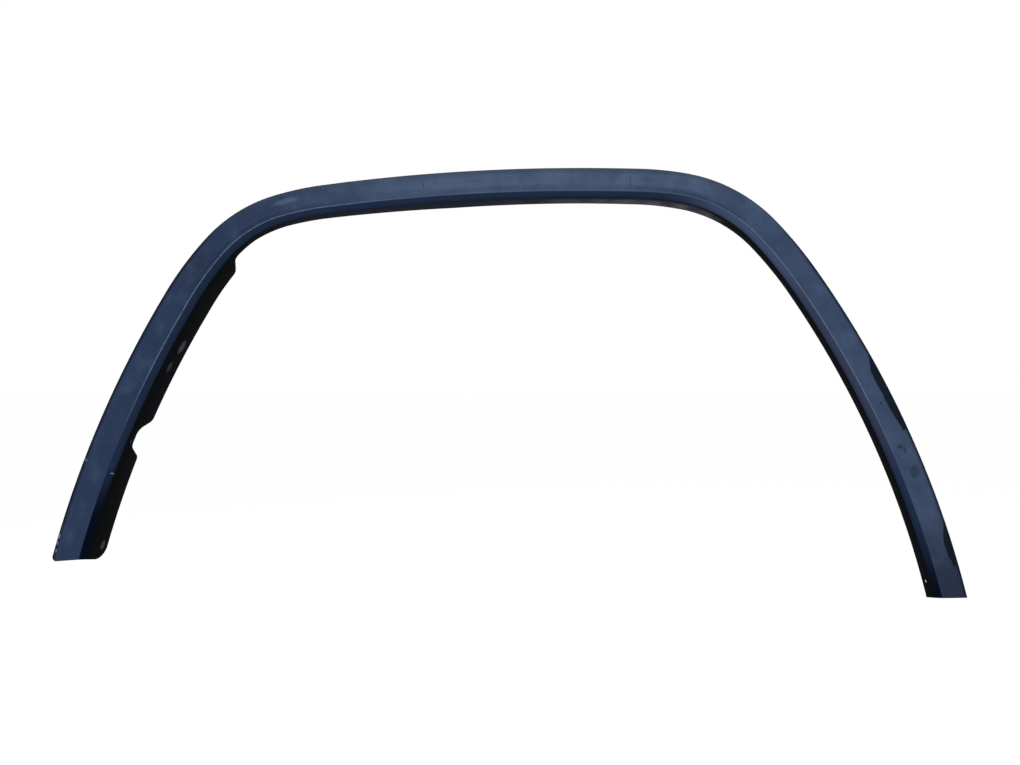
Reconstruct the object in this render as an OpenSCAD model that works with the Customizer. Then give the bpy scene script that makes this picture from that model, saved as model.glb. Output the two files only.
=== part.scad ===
// Wheel arch trim: one injection-moulded plastic moulding that follows the edge of a wheel opening.
// The section is carried along a row of tangent bends, outwards from the crown on both sides.
// Frame: +X along the vehicle, +Y into the body, +Z up. The origin is the seat of the crown clip house.

/* [Section] */
// Wall thickness of the show face and the chamfer
wall = 2.6; // [1.8:0.1:3.6]
// Width of the show face over the top of the arch, from the outer edge to the crease
top_face_w = 26.5; // [24:0.5:32]
// Width of the show face where the left leg begins
left_leg_face_w = 31.5; // [25:0.5:35]
// Width of the show face at the lower end of the left leg
left_end_face_w = 34.5; // [26:0.5:38]
// Width of the show face where the right corner ends
right_leg_face_w = 28.8; // [25:0.1:33]
// Width of the show face at the lower end of the right leg
right_end_face_w = 31.4; // [25:0.1:35]
// How far the outer edge lies behind the crease
face_fall = 7.5; // [3:0.5:9]
// How far the middle of the show face bulges out of flat
face_bulge = 0.6; // [0:0.1:1.5]
// Rounding of the outer edge
edge_r = 3.6; // [3:0.1:4.4]
// Rounding of the crease
crease_r = 1.8; // [0.5:0.1:3]
// Width of the chamfer behind the crease, seen from the front
chamfer_w = 5.8; // [4.5:0.1:9]
// How far the chamfer falls back
chamfer_fall = 7.5; // [5:0.5:12]
// Rounding between the chamfer and the return flange
root_r = 3.2; // [2.8:0.1:4]
// Depth of the body surface behind the crease
seat_depth = 18; // [16:0.5:26]

/* [Return flange] */
// Angle by which the flange leans into the wheel opening
flange_lean = 6; // [0:0.5:12]
// Depth of the flange at the top of the wide tab on the left leg
tab_top_depth = 31; // [30:0.5:38]
// Depth of the tab at the lower end
tab_end_depth = 30.5; // [28:0.5:38]
// Depth of the flange where the tab begins
step_depth = 10.5; // [10:0.5:13]
// Depth of the flange round the left corner, above the tab
left_corner_depth = 9.5; // [9.5:0.5:12]
// Depth of the flange where the left corner begins
left_lead_depth = 12.5; // [10:0.5:16]
// Depth of the flange along the top of the arch, on both sides of the crown
top_depth = 22; // [13:0.5:24]
// Depth of the flange at the crown
crown_depth = 20.5; // [13:0.5:24]
// Depth of the flange where the right corner ends
right_corner_depth = 13; // [11:0.5:20]
// Depth of the flange where the right leg begins
right_leg_depth = 12; // [11:0.5:20]
// Depth of the flange at the right end
right_end_depth = 14.5; // [14.5:0.5:24]
// Distance along the arch from the crown to the top of the tab
tab_start = 442; // [410:1:470]
// Radius of each curve of the step where the tab begins
step_r = 9; // [3:0.5:9]
// Radius of the lower corner of the tab
tab_corner_r = 13; // [4:1:20]

/* [Notch in the tab] */
// Distance along the arch from the crown to the middle of the notch
notch_at = 670; // [620:1:720]
// Length of the notch at the free edge of the tab
notch_mouth = 46; // [38:1:56]
// Length of the notch at its bottom
notch_floor = 20; // [12:1:30]
// How far the bottom of the notch sits towards the lower end
notch_offset = 0.5; // [0:0.5:4]
// Depth of the notch
notch_deep = 17; // [10:1:18]
// Rounding of the bottom corners of the notch
notch_r = 5; // [1:0.5:5]

/* [Left half of the arch] */
// Radius of the nearly straight top, left of the crown
left_top_r = 2200; // [1600:50:3000]
// Turn of that top stretch
left_top_turn = 7.3; // [6:0.1:9]
// Radius of the bend that leads into the left corner
left_lead_r = 360; // [300:5:450]
// Turn of that leading bend
left_lead_turn = 8.8; // [7:0.1:11]
// Radius of the left corner
left_corner_r = 170; // [140:5:220]
// Turn of the left corner
left_corner_turn = 30.3; // [26:0.1:34]
// Radius of the bend that leads out of the left corner
left_exit_r = 375; // [300:5:450]
// Turn of that exit bend
left_exit_turn = 11.4; // [9:0.1:14]
// Radius of the left leg
left_leg_r = 1200; // [1000:20:1500]
// Height of the outer edge at the crown above the lower end of the left leg
left_height = 436.5; // [426:0.5:441]
// Slope of the lower ends, which fall towards the back
end_slope = 13; // [0:1:18]
// Rise of the left leg's lower end towards the wheel
left_end_rise = 3.5; // [0:0.5:6]

/* [Right half of the arch] */
// Radius of the nearly straight top, right of the crown
right_top_r = 2650; // [2000:50:3500]
// Turn of that top stretch
right_top_turn = 1.4; // [1:0.1:2]
// Radius of the bend that leads into the right corner
right_lead_r = 360; // [300:5:450]
// Turn of that leading bend
right_lead_turn = 8.2; // [7:0.1:10]
// Radius of the right corner
right_corner_r = 180; // [150:5:220]
// Turn of the right corner
right_corner_turn = 35.7; // [32:0.1:38]
// Radius of the bend that leads out of the right corner
right_exit_r = 460; // [380:5:550]
// Turn of that exit bend
right_exit_turn = 8.5; // [7:0.1:11]
// Radius of the right leg
right_leg_r = 1100; // [950:10:1300]
// Height of the outer edge at the crown above the lower end of the right leg
right_height = 472; // [464:1:480]

/* [Curve towards the body] */
// Lean of the top bend plane, which takes the left end back
left_sweep_back = 15; // [0:1:20]
// Lean of the top bend plane, which takes the right end back
right_sweep_back = 8; // [0:1:16]
// Lean of the leading bends
lead_sweep_back = 7; // [0:1:10]
// Lean of the corners and the legs
leg_sweep_back = 2; // [0:0.5:4]

/* [Clip houses] */
// Distance between clip houses along the arch
clip_pitch = 116; // [108:1:122]
// Clip houses on the left of the crown house
clips_left = 6; // [3:1:6]
// Clip houses on the right of the crown house
clips_right = 5; // [3:1:5]
// Distance of a clip's axis from the outer edge
clip_inset = 14; // [12.5:0.5:15.5]
// Length of a clip house along the arch
house_len = 20; // [16:1:26]
// Width of a clip house across the face
house_wide = 16; // [13:0.5:17]
// Wall of a clip house
house_wall = 1.8; // [1.2:0.1:2.2]
// Round seat that the neck of a push-in clip snaps into
clip_neck_d = 8; // [6:0.1:9]
// Entry of the keyhole slot that leads to the seat
clip_entry_w = 6.4; // [4.5:0.1:7]

/* [Screw hole and gussets] */
// Diameter of the screw hole in the return flange
screw_d = 5; // [3.5:0.1:6]
// Distance along the arch from the lower end of the right leg up to the screw hole
end_screw_rise = 28; // [22:1:60]
// Depth of the screw hole behind the root of the flange
end_screw_deep = 9.5; // [7:0.5:10]
// Thickness of the gussets between the clip houses
gusset_t = 1.5; // [1:0.1:2.5]
// Reach of a gusset down the flange
gusset_deep = 8; // [6:0.5:9]

/* [Facets] */
// Largest gap between a flat facet and the true curve of the arch
facet_gap = 0.06; // [0.04:0.01:0.3]

/* [Hidden] */
$fn = 48;
// Facets in the rounding of each corner of the section
corner_steps = 3;
// How far a cutter runs past the material that it removes
spare = 1;
// A length past any part of the moulding
far = 900;
// Stretch over which the bare flange runs out of the tab, before the step is cut
tab_fade = 12;
// How far the cutters of the flange reach into the wheel opening
reach_in = 60;
// Share of the wall by which houses and gussets sink into it
bite = 0.45;
// The sweep runs this far past the lower ends before they are cut level
overrun = 24;
left_bends = [
  [left_top_r, left_top_turn, left_sweep_back],
  [left_lead_r, left_lead_turn, lead_sweep_back],
  [left_corner_r, left_corner_turn, leg_sweep_back],
  [left_exit_r, left_exit_turn, leg_sweep_back],
  [left_leg_r, 0, leg_sweep_back]
];
right_bends = [
  [right_top_r, right_top_turn, right_sweep_back],
  [right_lead_r, right_lead_turn, lead_sweep_back],
  [right_corner_r, right_corner_turn, leg_sweep_back],
  [right_exit_r, right_exit_turn, leg_sweep_back],
  [right_leg_r, 0, leg_sweep_back]
];
// Length of the stretches above each leg, and of the legs with their overrun
left_above = arc_sum(left_bends);
right_above = arc_sum(right_bends);
left_corner_end = left_above - arc_length(left_bends[3]);
left_end = left_above + leg_length(left_bends, left_height);
right_end = right_above + leg_length(right_bends, right_height);

// Length of one bend given as [radius, turn, lean]
function arc_length(b) = b[0] * b[1] * PI / 180;
function arc_sum(bends, i = 0) = i < len(bends) ? arc_length(bends[i]) + arc_sum(bends, i + 1) : 0;
function arc_turn(bends, i = 0) = i < len(bends) ? bends[i][1] + arc_turn(bends, i + 1) : 0;

// Rigid moves as matrices
function turn_y(a) = [[cos(a), 0, sin(a), 0], [0, 1, 0, 0], [-sin(a), 0, cos(a), 0], [0, 0, 0, 1]];
function turn_z(a) = [[cos(a), -sin(a), 0, 0], [sin(a), cos(a), 0, 0], [0, 0, 1, 0], [0, 0, 0, 1]];
function shift_x(d) = [[1, 0, 0, d], [0, 1, 0, 0], [0, 0, 1, 0], [0, 0, 0, 1]];

// Local frame of the section: X out of the arch, Y along it, Z back into the body
crown_frame = [
  [0, 1, 0, 0],
  [0, 0, 1, -seat_depth],
  [1, 0, 0, clip_inset],
  [0, 0, 0, 1]
];
// The frame after turning by angle a round one bend
function bent(b, a) = turn_y(b[2]) * shift_x(-b[0]) * turn_z(a) * shift_x(b[0]) * turn_y(-b[2]);
// The frame at a distance from the crown, negative to the left
function along(bends, s, i = 0) =
  abs(s) <= arc_length(bends[i]) || i == len(bends) - 1
    ? bent(bends[i], s / bends[i][0] * 180 / PI)
    : bent(bends[i], sign(s) * bends[i][1]) * along(bends, s - sign(s) * arc_length(bends[i]), i + 1);
function frame_at(s) = crown_frame * along(s < 0 ? left_bends : right_bends, s);
// Leg length at which the outer edge has fallen by the given height below the crown
function leg_length(bends, height) =
  let (
    turned = arc_turn(bends),
    leg_r = bends[len(bends) - 1][0],
    left_over = height - fall(bends)
  )
  (acos(cos(turned) - left_over / leg_r) - turned) * PI / 180 * leg_r;
// Fall of the outer edge over the bends above the leg
function fall(bends, i = 0, t = 0) =
  i == len(bends) ? 0
  : bends[i][0] * (cos(t) - cos(t + bends[i][1])) + fall(bends, i + 1, t + bends[i][1]);

// Distances from the crown at which the section is placed, close enough for facet_gap
function spacing(r) = sqrt(8 * r * facet_gap);
function stops(length, r) = let (n = ceil(length / spacing(r))) [for (i = [1:n]) length * i / n];
function stretch_stops(bends, leg, i = 0, from = 0) =
  i == len(bends) - 1
    ? [for (d = stops(leg, bends[i][0])) from + d]
    : concat(
        [for (d = stops(arc_length(bends[i]), bends[i][0])) from + d],
        stretch_stops(bends, leg, i + 1, from + arc_length(bends[i]))
      );
function reversed(list) = [for (i = [len(list) - 1:-1:0]) list[i]];
stations = concat(
  [for (d = reversed(stretch_stops(left_bends, left_end - left_above + overrun))) -d],
  [0],
  stretch_stops(right_bends, right_end - right_above + overrun)
);

// Width of the show face at a distance from the crown
function face_width(s) = lookup(s, [
  [-left_end, left_end_face_w],
  [-left_above, left_leg_face_w],
  [-left_corner_end + arc_length(left_bends[2]), top_face_w],
  [right_above - arc_length(right_bends[3]) - arc_length(right_bends[2]), top_face_w],
  [right_above - arc_length(right_bends[3]), right_leg_face_w],
  [right_end, right_end_face_w]
]);
// Root of the return flange as [inwards from the outer edge, back from the crease]
function root_at(s) = [face_width(s) + chamfer_w, chamfer_fall];
// Depth of the return flange at a distance from the crown
function flange_depth(s) = lookup(s, [
  [-left_end, tab_end_depth],
  [-tab_start + 2 * step_r, tab_top_depth],
  [-tab_start + 2 * step_r + tab_fade, step_depth],
  [-left_corner_end + arc_length(left_bends[2]) / 2, left_corner_depth],
  [-left_corner_end + arc_length(left_bends[2]), left_lead_depth],
  [-arc_length(left_bends[0]) / 2, top_depth],
  [0, crown_depth],
  [right_above - arc_length(right_bends[3]) - arc_length(right_bends[2]), top_depth],
  [right_above - arc_length(right_bends[3]), right_corner_depth],
  [right_above, right_leg_depth],
  [right_end + overrun, right_end_depth]
]);

// Plane geometry of the section
function unit(v) = v / norm(v);
function side(a, b) = let (d = unit(b - a)) [d[1], -d[0]];
// Corner b moved to the inner side of the wall
function inner(a, b, c, t) = let (m = side(a, b), n = side(b, c)) b - t * (m + n) / (1 + m * n);
// A corner rounded with facets on its true radius
function rounded(a, b, c, r) =
  r == 0 ? [b] : let (
    p = unit(a - b),
    q = unit(c - b),
    half = acos(p * q) / 2,
    centre = b + unit(p + q) * r / sin(half),
    start = b + p * r / tan(half) - centre,
    swing = (180 - 2 * half) * sign(p[0] * q[1] - p[1] * q[0])
  )
  [for (i = [0:corner_steps]) let (w = -swing * i / corner_steps)
    centre + [start[0] * cos(w) - start[1] * sin(w), start[0] * sin(w) + start[1] * cos(w)]];
function rounded_row(c, radii) = [
  for (i = [0:len(c) - 1])
    for (p = i == 0 || i == len(c) - 1 ? [c[i]] : rounded(c[i - 1], c[i], c[i + 1], radii[i])) p
];
// Corners of the outer surface as [inwards, back], from the rim on the body to the free edge of the flange
function corners(s) = [
  [0, seat_depth],
  [0, face_fall],
  [face_width(s) / 2, face_fall / 2 - face_bulge],
  [face_width(s), 0],
  root_at(s),
  root_at(s) + flange_depth(s) * [tan(flange_lean), 1]
];
function inner_corners(c) = [
  for (i = [0:len(c) - 1])
    i == 0 ? c[0] - wall * side(c[0], c[1])
    : i == len(c) - 1 ? c[i] - wall * side(c[i - 1], c[i])
    : inner(c[i - 1], c[i], c[i + 1], wall)
];
function section(s) =
  let (c = corners(s))
  concat(
    rounded_row(c, [0, edge_r, 0, crease_r, root_r - wall, 0]),
    reversed(rounded_row(inner_corners(c), [0, edge_r - wall, 0, crease_r + wall, root_r, 0]))
  );
// Depth of the front surface of a face of width w at a distance from the outer edge
function face_at(u, w) = lookup(u, [[0, face_fall], [w / 2, face_fall / 2 - face_bulge], [w, 0]]);

function on_section(p) = [-p[0], 0, p[1], 1];
function first3(p) = [p[0], p[1], p[2]];

module place(s) {
  multmatrix(frame_at(s)) children();
}

// A flat shape in the plane of the section, given a thickness along the arch
module slice(t) {
  rotate([90, 0, 0]) linear_extrude(t, center = true) mirror([1, 0]) children();
}

// The bare section carried along the arch
module swept_shell() {
  rings = [for (s = stations) let (f = frame_at(s)) [for (p = section(s)) first3(f * on_section(p))]];
  n = len(rings[0]);
  ends = len(rings) - 1;
  points = [for (ring = rings) each ring];
  walls = [for (i = [0:ends - 1]) for (k = [0:n - 1])
    let (a = i * n + k, b = i * n + (k + 1) % n) each [[a, b + n, b], [a, a + n, b + n]]];
  half = n / 2;
  caps = [for (e = [0, ends]) for (k = [0:half - 2])
    let (a = e * n + k, b = e * n + k + 1, c = e * n + n - 2 - k, d = e * n + n - 1 - k)
    each e == 0 ? [[a, c, d], [a, b, c]] : [[a, c, b], [a, d, c]]];
  polyhedron(points, concat(walls, caps));
}

// A house on the back of the face that holds one push-in clip by its neck
module clip_house(s) {
  u0 = clip_inset - house_wide / 2;
  u1 = clip_inset + house_wide / 2;
  sunk = wall * bite;
  w = face_width(s);
  place(s) difference() {
    slice(house_len) polygon([
      [u0, seat_depth], [u0, face_at(u0, w) + wall - sunk],
      [u1, face_at(u1, w) + wall - sunk], [u1, seat_depth]
    ]);
    slice(house_len - 2 * house_wall) translate([u0 + house_wall, 0])
      square([house_wide + spare, seat_depth - house_wall]);
    translate([-clip_inset, 0, seat_depth - house_wall - spare]) {
      cylinder(h = house_wall + 2 * spare, d = clip_neck_d);
      translate([-house_wide, -clip_entry_w / 2, 0]) cube([house_wide, clip_entry_w, house_wall + 2 * spare]);
    }
  }
}

// A web that stiffens the angle between the chamfer and the flange
module gusset(s) {
  sunk = wall * bite;
  reach = [tan(flange_lean), 1];
  w = face_width(s);
  root = root_at(s);
  place(s) slice(gusset_t) polygon([
    [w - chamfer_w, face_at(w - chamfer_w, w) + wall - sunk],
    [w, wall - sunk],
    root + [-sunk, sunk],
    root + [sunk - wall, 0] + gusset_deep * reach
  ]);
}

// A cutter through the flange only, drawn as [along the arch, back from the crease]
module through_flange(s) {
  place(s) translate([-root_at(s)[0] - reach_in, 0, 0]) rotate([90, 0, 90])
    linear_extrude(reach_in + 2 * wall) children();
}

// Cutter that leaves the shallow flange above the tab, with the S curve of the step
module step_cut() {
  low = chamfer_fall + step_depth;
  rise = tab_top_depth - step_depth;
  through_flange(-tab_start) difference() {
    translate([0, low]) square([2 * step_r + tab_fade + spare, rise + spare]);
    translate([0, low + rise - step_r]) circle(step_r);
    translate([0, low]) square([step_r, rise - step_r]);
    translate([step_r, low]) difference() {
      square(step_r);
      translate([step_r, step_r]) circle(step_r);
    }
  }
}

// Cutter for the notch in the free edge of the tab
module notch_cut() {
  tab_free = chamfer_fall + flange_depth(-notch_at);
  through_flange(-notch_at) hull() {
    for (end = [-1, 1])
      translate([end * (notch_floor / 2 - notch_r) - notch_offset, tab_free - notch_deep + notch_r])
        circle(notch_r);
    translate([-notch_mouth / 2, tab_free]) square([notch_mouth, 2 * spare]);
  }
}

// Cutter that rounds the lower corner of the tab
module corner_cut() {
  turn = arc_turn(left_bends) + (left_end - left_above) / left_leg_r * 180 / PI;
  back = chamfer_fall + tab_end_depth - tab_corner_r;
  inwards = root_at(-left_end)[0] + (back - chamfer_fall) * tan(flange_lean);
  rise = tan(left_end_rise);
  fall_back = (back - face_fall) * tan(end_slope) / cos(left_end_rise);
  end_edge = (inwards * (cos(turn) + rise * sin(turn)) - fall_back) / (sin(turn) - rise * cos(turn));
  through_flange(-left_end) difference() {
    translate([end_edge - overrun, back]) square([tab_corner_r + overrun, tab_corner_r + spare]);
    translate([end_edge + tab_corner_r, back]) circle(tab_corner_r);
  }
}

// Cut of one leg's lower end, which rises by an angle along the vehicle
module end_cut(s, rise) {
  edge = first3(frame_at(s) * on_section([0, face_fall]));
  translate(edge) rotate([-end_slope, -rise, 0]) translate([0, 0, -far / 2])
    cube([far / 2, far, far], center = true);
}

// Through hole square to the flange
module screw_hole(s, deep) {
  place(s) translate([-root_at(s)[0] - deep * tan(flange_lean), 0, chamfer_fall + deep])
    rotate([0, 90 - flange_lean, 0]) cylinder(h = 4 * wall, d = screw_d, center = true);
}

module arch_moulding() {
  color([0.24, 0.29, 0.36])
  difference() {
    union() {
      swept_shell();
      for (i = [-clips_left:clips_right]) clip_house(i * clip_pitch);
      for (i = [-clips_left:clips_right - 1]) gusset((i + 0.5) * clip_pitch);
    }
    end_cut(-left_end, left_end_rise);
    end_cut(right_end, 0);
    step_cut();
    notch_cut();
    corner_cut();
    screw_hole(right_end - end_screw_rise, end_screw_deep);
  }
}

arch_moulding();
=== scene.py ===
"""Wheel arch trim for the studio: a satin slate-blue show face with a black return flange and back.

The moulding's section is carried along the same row of bends as its CAD solid.
Local frame of the section: X out of the arch, Y along it, Z back into the body.
"""
import math

import bmesh
import bpy
from mathutils import Matrix, Vector
from mathutils.kdtree import KDTree


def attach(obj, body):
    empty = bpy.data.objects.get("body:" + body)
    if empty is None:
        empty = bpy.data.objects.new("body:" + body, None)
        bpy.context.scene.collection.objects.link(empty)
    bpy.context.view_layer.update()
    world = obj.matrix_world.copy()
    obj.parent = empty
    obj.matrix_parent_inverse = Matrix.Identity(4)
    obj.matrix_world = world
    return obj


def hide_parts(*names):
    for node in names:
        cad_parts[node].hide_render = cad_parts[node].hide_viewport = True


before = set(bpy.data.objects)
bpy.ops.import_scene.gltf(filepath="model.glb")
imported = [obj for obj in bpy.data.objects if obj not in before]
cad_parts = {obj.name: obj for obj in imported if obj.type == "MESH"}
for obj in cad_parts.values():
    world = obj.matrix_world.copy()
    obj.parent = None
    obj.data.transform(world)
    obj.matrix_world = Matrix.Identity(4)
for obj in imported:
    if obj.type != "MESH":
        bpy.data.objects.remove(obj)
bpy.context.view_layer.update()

MM = 0.001
UP = Vector((0, 0, 1))
# Points nearer to each other than this are one
SAME_POINT = 1e-7

# Section of the moulding
WALL = 2.6 * MM
TOP_FACE = 26.5 * MM
LEFT_LEG_FACE = 31.5 * MM
LEFT_END_FACE = 34.5 * MM
RIGHT_LEG_FACE = 28.8 * MM
RIGHT_END_FACE = 31.4 * MM
FACE_FALL = 7.5 * MM
FACE_BULGE = 0.6 * MM
CHAMFER_WIDTH = 5.8 * MM
CHAMFER_FALL = 7.5 * MM
SEAT_DEPTH = 18 * MM
FLANGE_LEAN = math.radians(6)
OUTER_EDGE_R = 3.6 * MM
CREASE_R = 1.8 * MM
ROOT_R = 3.2 * MM
FREE_EDGE_SOFT = 0.6 * MM
LOWER_END_SOFT = 0.45 * MM
FACE_STEPS = 6
BEND_STEPS = 5
FREE_EDGE_STEPS = 3
SOFT_STEPS = 2

# Depth of the return flange along the arch
TAB_TOP_DEPTH = 31 * MM
TAB_END_DEPTH = 30.5 * MM
STEP_DEPTH = 10.5 * MM
LEFT_CORNER_DEPTH = 9.5 * MM
LEFT_LEAD_DEPTH = 12.5 * MM
TOP_DEPTH = 22 * MM
CROWN_DEPTH = 20.5 * MM
RIGHT_CORNER_DEPTH = 13 * MM
RIGHT_LEG_DEPTH = 12 * MM
RIGHT_END_DEPTH = 14.5 * MM
TAB_START = 442 * MM
TAB_FADE = 12 * MM
STEP_SHOULDER = 5 * MM
STEP_RUN = 14.5 * MM
STEP_SHOULDER_R = 9 * MM
STEP_FOOT_R = 11 * MM
STEP_EASE = 0.5 * MM
TAB_CORNER_R = 13 * MM
NOTCH_AT = 670 * MM
NOTCH_MOUTH_LOW, NOTCH_MOUTH_HIGH = -21.5 * MM, 23.7 * MM
NOTCH_FLOOR_LOW, NOTCH_FLOOR_HIGH = -7.5 * MM, 13 * MM
NOTCH_DEEP = 18.5 * MM
NOTCH_R = 11 * MM
NOTCH_LIP_R = 7 * MM
CURVE_STEPS = 12
ROUNDING_STEPS = 8

# Bends outwards from the crown: radius, turn, lean towards the body
LEFT_BENDS = (
    (2200 * MM, 7.3, 15),
    (360 * MM, 8.8, 7),
    (170 * MM, 30.3, 2),
    (375 * MM, 11.4, 2),
    (1200 * MM, 90, 2),
)
RIGHT_BENDS = (
    (2650 * MM, 1.4, 8),
    (360 * MM, 8.2, 7),
    (180 * MM, 35.7, 2),
    (460 * MM, 8.5, 2),
    (1100 * MM, 90, 2),
)
LEFT_HEIGHT = 436.5 * MM
RIGHT_HEIGHT = 472 * MM
END_SLOPE = math.radians(13)
LEFT_END_RISE = math.radians(3.5)
END_CORNER_R = 6.5 * MM
# How far the section is carried past each lower end before the end is cut
OVERRUN = 24 * MM
# Longest leg below the bends, and the distance from the crown beyond which there are only legs, in metres
LONGEST_LEG = 0.6
LEGS_FROM = 0.3
# How far the facets of a bend may lie from its true arc
FACET_GAP = 0.008 * MM

# Fixings on the hidden side
CLIP_PITCH = 116 * MM
CLIPS_LEFT = 6
CLIPS_RIGHT = 5
CLIP_INSET = 14 * MM
HOUSE_LENGTH = 20 * MM
HOUSE_WIDTH = 16 * MM
HOUSE_WALL = 1.8 * MM
HOUSE_SOFT = 0.25 * MM
CLIP_NECK = 8 * MM
CLIP_ENTRY = 6.4 * MM
SEAT_STEPS = 48
GUSSET_THICK = 1.5 * MM
GUSSET_DEEP = 8 * MM
FOOT_SUNK = 0.55 * WALL
SCREW_HOLE = 5 * MM
SCREW_HOLE_SOFT = 0.35 * MM
SCREW_HOLE_STEPS = 64
END_SCREW_RISE = 28 * MM
END_SCREW_DEEP = 9.5 * MM
# Angles between faces in radians: below the first they lie flat, above the second an edge is sharp
FLAT, SHARP = 0.01, 1
# Edges that turn less than this are shaded smooth
SMOOTH_BELOW = math.radians(32)

# Where the finish changes across the outer surface, counted from the outer edge on a face of even width
CREASE_AT = 28 * MM
ROOT_AT = CREASE_AT + math.hypot(CHAMFER_WIDTH, CHAMFER_FALL)

CROWN = Matrix(((0, 1, 0, 0), (0, 0, 1, -SEAT_DEPTH), (1, 0, 0, CLIP_INSET), (0, 0, 0, 1)))
RIM, OUTER_EDGE, CREASE = 0, 1, 1 + FACE_STEPS
ROOT_CORNER, FREE_EDGE = CREASE + 1, CREASE + 2
RING = 2 * (FREE_EDGE + 1)


# ---- The path of the arch

def bend_move(radius, lean, angle):
    """Turn by an angle about the axis of one bend."""
    to_axis = Matrix.Rotation(lean, 4, "Y") @ Matrix.Translation((-radius, 0, 0))
    return to_axis @ Matrix.Rotation(angle, 4, "Z") @ to_axis.inverted()


def place_at(distance):
    """The section's frame at a distance from the crown, negative to the left."""
    place = CROWN
    rest = abs(distance)
    for radius, turn, lean in LEFT_BENDS if distance < 0 else RIGHT_BENDS:
        run = min(rest, radius * math.radians(turn))
        place = place @ bend_move(radius, math.radians(lean), math.copysign(run / radius, distance))
        rest -= run
    return place


def spot_at(distance, inwards, back):
    """A point of the section in the frame of the part."""
    return place_at(distance) @ Vector((-inwards, 0, back))


def length_above(bends, count=4):
    """Length of the bends nearest the crown."""
    return sum(radius * math.radians(turn) for radius, turn, lean in bends[:count])


def fall_at(distance):
    """Fall of the outer edge in the plane of the arch, lean left out."""
    fall, turned, rest = 0, 0, abs(distance)
    for radius, turn, lean in LEFT_BENDS if distance < 0 else RIGHT_BENDS:
        run = min(rest, radius * math.radians(turn))
        fall += radius * (math.cos(turned) - math.cos(turned + run / radius))
        turned += run / radius
        rest -= run
    return fall


def leg_end(bends, height, way):
    """Distance at which the outer edge has fallen by a height below the crown's edge, found by halving."""
    low, high = length_above(bends), length_above(bends) + LONGEST_LEG
    halvings = 50
    for _ in range(halvings):
        middle = (low + high) / 2
        fallen = fall_at(middle * way)
        low, high = (middle, high) if fallen < height else (low, middle)
    return low


LEFT_END = leg_end(LEFT_BENDS, LEFT_HEIGHT, -1)
RIGHT_END = leg_end(RIGHT_BENDS, RIGHT_HEIGHT, 1)


def between(pairs, distance):
    """Value at a distance on the straight lines through pairs of [distance, value], held at both ends."""
    if distance <= pairs[0][0]:
        return pairs[0][1]
    for (start, low), (end, high) in zip(pairs, pairs[1:]):
        if distance <= end:
            return low + (high - low) * (distance - start) / (end - start)
    return pairs[-1][1]


FACE_WIDTHS = (
    (-LEFT_END, LEFT_END_FACE),
    (-length_above(LEFT_BENDS), LEFT_LEG_FACE),
    (-length_above(LEFT_BENDS, 2), TOP_FACE),
    (length_above(RIGHT_BENDS, 2), TOP_FACE),
    (length_above(RIGHT_BENDS, 3), RIGHT_LEG_FACE),
    (RIGHT_END, RIGHT_END_FACE),
)


def on_flange(distance, depth):
    """A point of the flange's outer surface as [inwards from the outer edge, back from the crease]."""
    root = Vector((between(FACE_WIDTHS, distance) + CHAMFER_WIDTH, CHAMFER_FALL))
    return root + depth * Vector((math.tan(FLANGE_LEAN), 1))


def distance_at(base, across_base, depth):
    """Distance at which the flange at a depth lies this far along the frame of a base distance."""
    inverse = place_at(base).inverted()
    distance = base + across_base
    tries = 12
    for _ in range(tries):
        distance += across_base - (inverse @ spot_at(distance, *on_flange(distance, depth))).y
    return distance


# ---- The free edge of the return flange, as pairs of [distance, depth]

def rounded_line(corners, radii, steps=ROUNDING_STEPS):
    """A flat line with its corners rounded."""
    line = [corners[0]]
    for before, corner, after, radius in zip(corners, corners[1:], corners[2:], radii):
        to_before, to_after = (before - corner).normalized(), (after - corner).normalized()
        half = to_before.angle(to_after) / 2
        centre = corner + (to_before + to_after).normalized() * radius / math.sin(half)
        first = corner + to_before * radius / math.tan(half) - centre
        last = corner + to_after * radius / math.tan(half) - centre
        swing = first.angle_signed(last)
        line += [centre + Matrix.Rotation(-swing * i / steps, 2) @ first for i in range(steps + 1)]
    return line + [corners[-1]]


def tab_step():
    """The S curve from the tab up to the shallow flange."""
    line = [
        Vector((-STEP_SHOULDER, TAB_TOP_DEPTH)),
        Vector((STEP_SHOULDER, TAB_TOP_DEPTH)),
        Vector((STEP_SHOULDER + STEP_RUN, STEP_DEPTH)),
        Vector((2 * STEP_SHOULDER + STEP_RUN + TAB_FADE, STEP_DEPTH - STEP_EASE)),
    ]
    return rounded_line(line, (STEP_SHOULDER_R, STEP_FOOT_R), CURVE_STEPS)


def tab_notch():
    """The notch from its lower to its upper lip."""
    free = between(((-LEFT_END, TAB_END_DEPTH), (-TAB_START, TAB_TOP_DEPTH)), -NOTCH_AT)
    line = [
        Vector((NOTCH_MOUTH_LOW - NOTCH_LIP_R, free)),
        Vector((NOTCH_MOUTH_LOW, free)),
        Vector((NOTCH_FLOOR_LOW, free - NOTCH_DEEP)),
        Vector((NOTCH_FLOOR_HIGH, free - NOTCH_DEEP)),
        Vector((NOTCH_MOUTH_HIGH, free)),
        Vector((NOTCH_MOUTH_HIGH + NOTCH_LIP_R, free)),
    ]
    return rounded_line(line, (NOTCH_LIP_R, NOTCH_R, NOTCH_R, NOTCH_LIP_R))


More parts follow.
